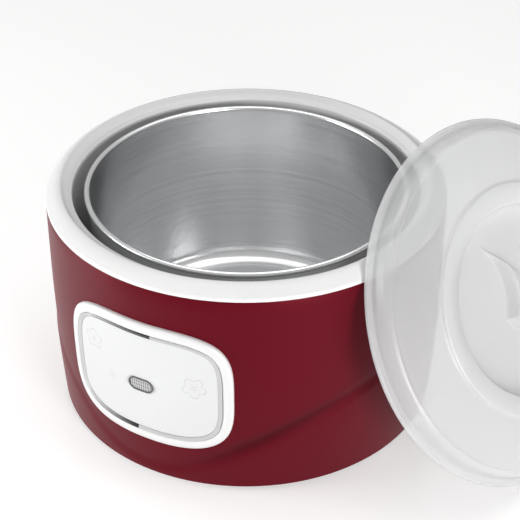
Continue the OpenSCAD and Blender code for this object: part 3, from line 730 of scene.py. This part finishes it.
panelMarks = {
    "plateColour": (0.745, 0.75, 0.755),
    "lineColour": (0.56, 0.565, 0.57),
    "flowers": [(-26.6, 12.7, 5.2, 0.3), (25.7, 4.3, 5.6, 0.9)],    # along, up, size, turn
    "spot": (-16.0, -2.6, 3.2),                                     # along, up, radius
    "spotShown": 0.35,
    "trimColour": (0.56, 0.565, 0.57),
    # painted reflection: the dark colour of the trim's runs
    "trimReflectionDark": (0.012, 0.012, 0.013),
    "reflectionRuns": [(-27.0, 6.0, 1.0), (-34.0, -3.0, -1.0)],           # painted reflection of a dark card: from, to, top or bottom
    "reflectionPast": 15.0,       # only this far up or down from the middle
    "reflectionSoft": 0.45,
    "windowColour": (0.52, 0.52, 0.525),
    "windowDark": (0.10, 0.10, 0.105),
    "ribEvery": 1.15,
    "ribLight": 0.1,
    "ribSharp": 3.0,
    "crossEvery": 1.84,
    "crossShare": 0.35,
    "crossBase": 0.6,
}


def markedFinish(values, dark, maskOf, sockets=None):
    # a moulded finish with marks (print, ribs, or a painted reflection), placed by their way round the
    # housing's side
    mat = plasticFinish(*values, sockets)
    tree = mat.node_tree
    around = addNode(tree, "ShaderNodeGroup", node_tree=aroundGroup)
    setInputs(around, {"Axis X": axisX * mm, "Axis Y": axisY * mm, "Turn": math.radians(housing["turn"])})
    setInputs(around, {"Radius": housing["radius"], "Middle Height": panel["z"]})
    mixOver(tree, values[1], dark, maskOf(tree, around.outputs["Along"], around.outputs["Up"]))
    return mat


def plateMarks(tree, along, up):
    marks = []
    for middleAlong, middleUp, size, turn in panelMarks["flowers"]:
        node = addNode(tree, "ShaderNodeGroup", node_tree=flowerGroup)
        tree.links.new(along, node.inputs["Along"])
        tree.links.new(up, node.inputs["Up"])
        setInputs(node, {"Middle Along": middleAlong, "Middle Up": middleUp, "Size": size, "Turn": turn})
        marks.append(node.outputs["Mark"])
    x, z, size = panelMarks["spot"]
    far = farFrom(tree, minus(tree, along, x), minus(tree, up, z))
    dot = times(tree, minus(tree, 1.0, over(tree, far, size), True), panelMarks["spotShown"])
    return larger(tree, larger(tree, marks[0], marks[1]), dot)


def paintedTrimReflection(tree, along, up):
    # painted reflection: two stretches of the bevel darken to a sharp end, as a dark card mirrored in them
    runs = []
    for start, end, half in panelMarks["reflectionRuns"]:
        rise = over(tree, minus(tree, along, start), end - start, True)
        before = mathNode(tree, "LESS_THAN", along, end)
        onHalf = mathNode(tree, "GREATER_THAN", times(tree, up, half), panelMarks["reflectionPast"])
        runs.append(times(tree, times(tree, rise, before), onHalf))
    return mathNode(tree, "POWER", larger(tree, runs[0], runs[1]), panelMarks["reflectionSoft"])


def windowMarks(tree, along, up):
    # fine upright ribs behind the window, with a fainter weave across them
    m = panelMarks
    wave = mathNode(tree, "SINE", times(tree, along, 2 * math.pi / m["ribEvery"]))
    rib = times(tree, plus(tree, wave, m["ribLight"]), m["ribSharp"], True)
    cross = mathNode(tree, "SINE", times(tree, up, 2 * math.pi / m["crossEvery"]))
    cross = plus(tree, times(tree, cross, m["crossShare"]), m["crossBase"])
    return times(tree, rib, cross, True)


# name, colour, roughness, grains per metre, bump, mottle, spread of the roughness
plateLook = ("platePearl", panelMarks["plateColour"], 0.34, 2600.0, 0.04, 0.03, 0.05)
trimLook = ("trimSilver", panelMarks["trimColour"], 0.30, 1800.0, 0.02, 0.03, 0.05)
windowLook = ("windowPlastic", panelMarks["windowColour"], 0.22, 3500.0, 0.1, 0.03, 0.05)
finishes["plate"] = markedFinish(plateLook, panelMarks["lineColour"], plateMarks)
finishes["trim"] = markedFinish(trimLook, panelMarks["trimReflectionDark"], paintedTrimReflection, {"Metallic": 0.45})
finishes["window"] = markedFinish(windowLook, panelMarks["windowDark"], windowMarks)


def panelLine(out):
    # rounded outline, moved outwards, with evenly spaced points
    w, h, k = panel["halfWide"], panel["halfHigh"], panel["square"]
    t = np.linspace(0, 2 * math.pi, panel["finePoints"])
    x = w * np.sign(np.cos(t)) * np.abs(np.cos(t)) ** (2 / k)
    z = h * np.sign(np.sin(t)) * np.abs(np.sin(t)) ** (2 / k)
    run = np.concatenate([[0], np.cumsum(np.hypot(np.diff(x), np.diff(z)))])
    even = np.arange(panel["points"]) * run[-1] / panel["points"]
    x, z = np.interp(even, run, x), np.interp(even, run, z)
    nx = np.sign(x) * np.abs(x / w) ** (k - 1) / w
    nz = np.sign(z) * np.abs(z / h) ** (k - 1) / h
    long = np.hypot(nx, nz)
    return list(zip(x + out * nx / long, z + out * nz / long))


def onPanel(points, d):
    # bends flat points round the side, d mm out from it
    p = np.asarray(points, float)
    a = p[:, 0] / housing["radius"] - math.pi / 2
    z = panel["z"] + p[:, 1]
    r = sideR(z) + d
    return toRow(np.stack([r * np.cos(a), r * np.sin(a), z], 1))


def sweepPanel(section):
    rings = [onPanel(panelLine(out), d) for out, d in section]
    return np.concatenate(rings), gridFaces(len(rings), len(rings[0]))


def makePanel():
    p = panel
    high, inner = p["out"], -p["band"]
    edge = [(x, high * share) for x, share in p["frameOuter"]]
    edge += [(inner + x, high * share) for x, share in p["frameInner"]]
    section = softLine([(0, p["frameFoot"])] + edge + [(inner, p["sill"])])
    root, deep = inner - p["rootWide"], p["rootDeep"]
    back = [(root, p["sill"]), (root, deep), (-p["rootIn"], deep), (-p["rootIn"], p["frameFoot"])]
    pts, faces = sweepPanel(np.concatenate([section, back]))
    frameRing = makeMesh("panelFrame", pts, faces, weld=True)
    dress(frameRing, "bezel", p["frameSharp"], "housing", "panel_bezel")

    outer, seat = inner - p["trimGap"], p["seat"]
    foot = seat + p["frameFoot"]
    bevel = moved(outer, seat, p["trimOuter"]) + moved(outer - p["trim"], seat, p["trimInner"])
    ends = [[(outer, foot)], [(outer - p["trim"], foot)]]
    pts, faces = sweepPanel(np.concatenate([ends[0], softLine(bevel, 1), ends[1]]))
    trimRing = makeMesh("panelTrim", pts, faces, weld=True)
    dress(trimRing, "trim", p["trimSharp"], "housing", "panel_trim")

    line = np.array(panelLine(inner - p["trim"] - p["plateGap"]))
    shares = [0.0, *np.linspace(*p["plateRings"])]
    rings = [(t, seat + p["plateHigh"]) for t in shares] + [(t, seat + up) for t, up in p["plateEdge"]]
    faces = gridFaces(len(rings), len(line), closedRows=False)
    faces.append(tuple(range((len(rings) - 1) * len(line), len(rings) * len(line))))
    pts = np.concatenate([onPanel(line * t, d) for t, d in rings])
    plate = makeMesh("panelFace", pts, faces, weld=True)
    dress(plate, "plate", p["frameSharp"], "housing", "panel_plate")


# rim ring
ring = {
    "edgeHigh": 1.7,
    "seam": 0.05,           # gap over the housing's edge
    "crestUp": 5.9,
    "crestIn": 7.4,
    "crestBend": 1.6,
    "slopeWide": 4.5,
    "slopeDrop": 3.4,
    "start": 0.3,           # the curves start this far inside the corners
    "slopeLess": (0.9, 0.4),    # and the slope ends this much sooner, across and down
    "near": 0.15,
    "chamber": 82.0,        # radius of the mouth's wall
    "mouth": [(-0.35, -0.15, 0.5), (-0.45, -1.6, 0)],       # out, up and rounding
    "wall": 3.0,
    "collarHigh": 108.0,
    "collarLow": 106.1,
    "under": 3.4,           # thickness under the mouth
    "crestUnder": (2.4, 2.6),       # hollow under the crest, out and up
    "tongue": (2.8, 4.8),   # in from the side, where the ring reaches into the housing
    "tongueLow": 106.4,
    "tongueUp": 0.4,
    "rounds": (0.15, 1.1, 0.7),     # at the seam, the edge and the crest
    "crestRows": 16,
    "slopeRows": 10,
    "columns": 300,
    "sharp": 40,
}


def makeRing():
    h, r = housing, ring
    side, top = h["radius"], h["top"]
    crestR, crestZ = side - r["crestIn"], top + r["crestUp"]
    mouthR, mouthZ = crestR - r["slopeWide"], crestZ - r["slopeDrop"]
    edge, start = top + r["edgeHigh"], r["start"]
    seamRound, edgeRound, crestRound = r["rounds"]
    pts = [(side, top + r["seam"], seamRound), (side, edge, edgeRound)]
    for t in np.linspace(0, 1, r["crestRows"])[2:-1]:
        up = (r["crestUp"] - r["edgeHigh"]) * (1 - (1 - t) ** r["crestBend"])
        pts.append((side - start - (r["crestIn"] - start) * t, edge + up, 0))
    pts.append((crestR - r["near"], crestZ, crestRound))
    lessWide, lessDrop = r["slopeLess"]
    for t in np.linspace(0, 1, r["slopeRows"])[1:]:
        down = (r["slopeDrop"] - lessDrop) * (1 - (1 - t) ** 2)
        pts.append((crestR - start - (r["slopeWide"] - lessWide) * t, crestZ - r["near"] - down, 0))
    pts += [(mouthR + out, mouthZ + up, cut) for out, up, cut in r["mouth"]]
    outer, inner = side - r["tongue"][0], side - r["tongue"][1]
    wall = r["chamber"] + r["wall"]
    back = [(r["chamber"], r["collarHigh"]), (r["chamber"], r["collarLow"]), (wall, r["collarLow"])]
    back += [(wall, mouthZ - r["under"]), (crestR + r["crestUnder"][0], top + r["crestUnder"][1])]
    back += [(inner, top + r["tongueUp"]), (inner, r["tongueLow"]), (outer, r["tongueLow"])]
    back += [(outer, top + r["seam"])]
    pts += [(x, z, 0) for x, z in back]
    p, faces = revolve(roundCorners(pts), r["columns"])
    rim = makeMesh("rimRing", toRow(p), faces, weld=True)
    dress(rim, "white", r["sharp"], "housing", "top_ring")


# steel pot with a rolled rim
pot = {
    "radius": 74.6,
    "wall": 0.8,
    "roll": 1.4,            # radius of the rim's bead
    "rollArc": (-145, 178, 22),     # from, to, steps
    "rimZ": 109.2,
    "corner": 9.0,
    "cornerArc": (-90, -5, 10),
    "taper": 1.2,
    "waist": 0.25,          # how much the side has come in, 40 mm down
    "sideRows": (12, 40),
    "beadBelow": 1.6,
    "beadInside": (0.02, 0.6),
    "floorZ": 19.0,
    "floorRows": [(40.0, 0.0), (20.0, 0.1), (0.0, 0.0)],    # radius, up
    "columns": 300,
    "sharp": 45,
}


def makePot():
    r, w, rimZ, c, z0 = (pot[k] for k in ("radius", "wall", "rimZ", "corner", "floorZ"))
    inner = r - w
    near, far = pot["sideRows"]
    bendR, bendZ = r - pot["taper"] - c, z0 + c
    low, high, steps = pot["cornerArc"]
    outer = [(0.0, z0)] + arcPoints(bendR, bendZ, c, low, high, steps)
    outer += [(r - pot["waist"], rimZ - far), (r, rimZ - near), (r, rimZ - pot["beadBelow"])]
    bead = arcPoints(r + pot["roll"] - w, rimZ, pot["roll"], *pot["rollArc"])
    out, down = pot["beadInside"]
    inside = [(inner + out, rimZ - down), (inner, rimZ - near), (inner - pot["waist"], rimZ - far)]
    inside += arcPoints(bendR, bendZ, c - w, high, low, steps) + moved(0.0, z0 + w, pot["floorRows"])
    p, faces = revolve(outer + bead + inside, pot["columns"])
    steel = makeMesh("steelPot", toRow(p), faces, weld=True)
    dress(steel, "pot", pot["sharp"], "pot", "inner_pot")


paintShadeInValley()
makeHousing()
makePanel()
makeRing()
makePot()
print("housing, panel, ring and pot ready")

# leaning lid: one wall of even thickness, from the lip over the shoulder and band to the dish
lid = {
    "spot": (117.461, -44.4877, 73.2905),   # middle of the lid's edge, from the housing's axis
    "faces": -45.0,         # direction that it faces
    "looksUp": 30.2,        # degrees that its face looks up
    "radius": 84.8,
    "wall": 1.6,
    "lip": 1.2,             # half thickness of the rounded lip
    "lipWide": 3.4,
    "lipArc": (-80, 82, 14),        # from, to, steps
    "lipIn": 0.6,
    "lipInside": 0.3,
    "lipStep": [(0.8, 0.0), (0.3, 0.15), (0.0, 0.6)],       # out and up from the step's foot
    "wallTop": (0.5, 0.6),
    "shoulder": 10.6,
    "bend": 4.2,            # radius of the shoulder's bend
    "bendIn": 5.2,
    "bendArc": (14, 76),
    "bendSteps": (10, 8),   # outside, inside
    "domeUp": 5.0,
    "crown": [(23, -0.05), (15, 0.44), (7, 0.82), (0.9, 1.0)],      # out from the band, share of domeUp
    "bandR": 54.0,
    "bandWide": 10.2,
    "bandUp": 1.6,
    "bandTop": [(-3, 0.25), (-5, 0.27)],
    "bandCorner": 1.2,
    "bandArc": (10, 80, 4),
    "dishCorner": 1.3,
    "dishArc": (95, 165, 5),
    "dishLip": 1.4,
    "dishTop": (3, 0.1),
    "dishDeep": 8.0,
    "dishRun": 13,          # how far the dish's side reaches in
    "dishStart": (2, 2.2),
    "dishIn": (0.6, 0.8),   # outside, inside
    "floorR": 29.4,
    "floorBow": (0.2, 30.2),        # rise at this radius
    "dishFrom": 0.1,        # share of the side where its rows start
    "dishRows": 14,
    "floorRows": 38,
    "bandInsideFoot": 0.6,
    "bandInside": [(-1.7, -0.3), (-3.2, 0.2)],
    "dishInside": [(3.4, 0.1), (1.8, -0.5)],
    "leafHalf": 11.2,
    "leafPast": 0.3,
    "hollow": 30.0,         # radius of the finger hollows
    "hollowAt": (25.3, 26.4),
    "leafLow": 1.2,
    "leafBall": 190.0,      # the leaf's ridge follows this ball
    "leafTurn": 118.0,
    "leafSoft": 3.2,        # width of the leaf's soft side
    "columns": 420,
    "sharp": 60,
}


def lidToRow(points):
    p = np.asarray(points, float)
    z, x = spin(p[:, 2], p[:, 0], 90 - lid["looksUp"])
    x, y = spin(x, p[:, 1], lid["faces"])
    dx, dy, dz = lid["spot"]
    return np.stack([x + axisX + dx, y + axisY + dy, z + dz], 1)


def leafDepth(x, y, shrink):
    # distance inside the leaf's outline: a lens of two arcs, less a finger hollow on each side
    u, v = spin(x, y, -lid["leafTurn"])
    tip = lid["bandR"] - lid["bandWide"] + lid["leafPast"]
    side = (tip ** 2 + lid["leafHalf"] ** 2) / (2 * lid["leafHalf"])
    off = lid["leafHalf"] - side
    lens = side - shrink - np.maximum(np.hypot(u - off, v), np.hypot(u + off, v))
    hx, hy = lid["hollowAt"]
    bites = np.minimum(np.hypot(u + hx, v - hy), np.hypot(u - hx, v + hy)) - lid["hollow"] - shrink
    return np.minimum(lens, bites)


def dishLine(top, gap, thick):
    # side and floor of the dish, thick mm behind its face
    dish = lid["bandR"] - lid["bandWide"]
    drop, less = lid["dishStart"]
    rise, reach = lid["floorBow"]
    line = []
    for t in np.linspace(lid["dishFrom"], 1, lid["dishRows"]):
        r = dish - gap - lid["dishRun"] * t * t + thick * (1 - t)
        line.append((r, top - drop - thick * t - (lid["dishDeep"] - less) * (1 - (1 - t) ** 2)))
    floorZ = top - lid["dishDeep"] - thick
    floorR = np.linspace(lid["floorR"], 0.0, lid["floorRows"])
    return line + [(r, floorZ + rise * (r / reach) ** 4) for r in floorR]


def makeLid():
    w, b, shoulder, up, bandR = (lid[k] for k in ("wall", "lip", "shoulder", "domeUp", "bandR"))
    edge = lid["radius"]
    top = shoulder + up + lid["bandUp"]
    dish = bandR - lid["bandWide"]
    step = edge - lid["lipWide"]
    wallIn, wallDown = lid["wallTop"]
    crown = [(bandR + out, shoulder + up * share) for out, share in lid["crown"]]
    bendR, bendZ = step - lid["bendIn"], shoulder - lid["bend"]
    outSteps, inSteps = lid["bendSteps"]
    corner, dishCorner = lid["bandCorner"], lid["dishCorner"]

    outer = [(edge - b - lid["lipIn"], 0)] + arcPoints(edge - b, b, b, *lid["lipArc"])
    outer += moved(step, 2 * b, lid["lipStep"]) + [(step - wallIn, shoulder / 2 - wallDown)]
    outer += arcPoints(bendR, bendZ, lid["bend"], *lid["bendArc"], outSteps)
    outer += [tuple(c) for c in softLine(crown, 2)]
    outer += arcPoints(bandR - corner, top - corner, corner, *lid["bandArc"])
    outer += moved(bandR, top, lid["bandTop"]) + moved(dish, top, [lid["dishTop"]])
    outer += arcPoints(dish + lid["dishLip"], top - dishCorner, dishCorner, *lid["dishArc"])

    soft = lid["lipInside"]
    inner = [(step - w + soft, 0), (step - w, soft), (step - w, 2 * b)]
    inner += [(step - w - wallIn, shoulder / 2 - wallDown)]
    inner += arcPoints(bendR, bendZ, lid["bend"] - w, *lid["bendArc"], inSteps)
    inner += [(r, z - w) for r, z in softLine(crown[1:], 1)[:-1]]
    inner += [(bandR - lid["bandInsideFoot"], shoulder + up - w)]
    inner += moved(bandR, top - w, lid["bandInside"]) + moved(dish, top - w, lid["dishInside"])

    n = lid["columns"]
    a = np.arange(n) * 2 * math.pi / n

    def ringOf(r, z, shrink=None):
        x, y = r * np.cos(a), r * np.sin(a)
        zs = np.full(n, z)
        if shrink is not None:
            ridge = top - lid["leafLow"] - shrink - (x * x + y * y) / (2 * lid["leafBall"])
            inside = smoothStep(leafDepth(x, y, shrink) / lid["leafSoft"])
            zs = np.where(ridge > z, z + (ridge - z) * inside, z)
        return np.stack([x, y, zs], 1)

    outGap, inGap = lid["dishIn"]
    rings = [ringOf(r, z) for r, z in outer]
    rings += [ringOf(r, z, 0.0) for r, z in dishLine(top, outGap, 0.0)]
    rings += [ringOf(r, z, w) for r, z in dishLine(top, inGap, w)[::-1]]
    rings += [ringOf(r, z) for r, z in inner[::-1]]
    cover = makeMesh("clearLid", lidToRow(np.concatenate(rings)), gridFaces(len(rings), n), weld=True)
    dress(cover, "lid", lid["sharp"], "lid", "lid")
    low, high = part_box("lid")
    mesh = np.array([v.co[:] for v in cover.data.vertices])
    under, past = (mesh.min(0) - np.array(low)) / mm, (mesh.max(0) - np.array(high)) / mm
    print("lid off its solid by, mm:", np.round(under, 2), np.round(past, 2))


makeLid()
print("lid ready")

# finishes on the solids that stay
nodeFinish = {
    "chamber_liner": "liner", "base_plate": "base", "rubber_feet": "rubber", "base_screws": "screw",
    "pill_frame": "pillRim", "lamp_lens": "window", "led_board": "board", "led_lamp": "lamp",
    "board_screws": "screw", "heat_plate": "alloy", "heater_block": "ceramic", "mica_sheet": "mica",
    "heater_clamp": "strip", "clamp_screws": "screw", "thermal_fuse": "fuse", "fuse_clip": "strip",
    "lead_wires": "redWire", "lamp_wires": "blackWire", "inlet_housing": "inlet", "inlet_pins": "brass",
}
sharpFrom = 30              # degrees
for name, finish in nodeFinish.items():
    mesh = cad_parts[name].data
    mesh.materials.clear()
    mesh.materials.append(finishes[finish])
    shadeRound(mesh, sharpFrom)
print("finishes set on", len(nodeFinish), "solids")
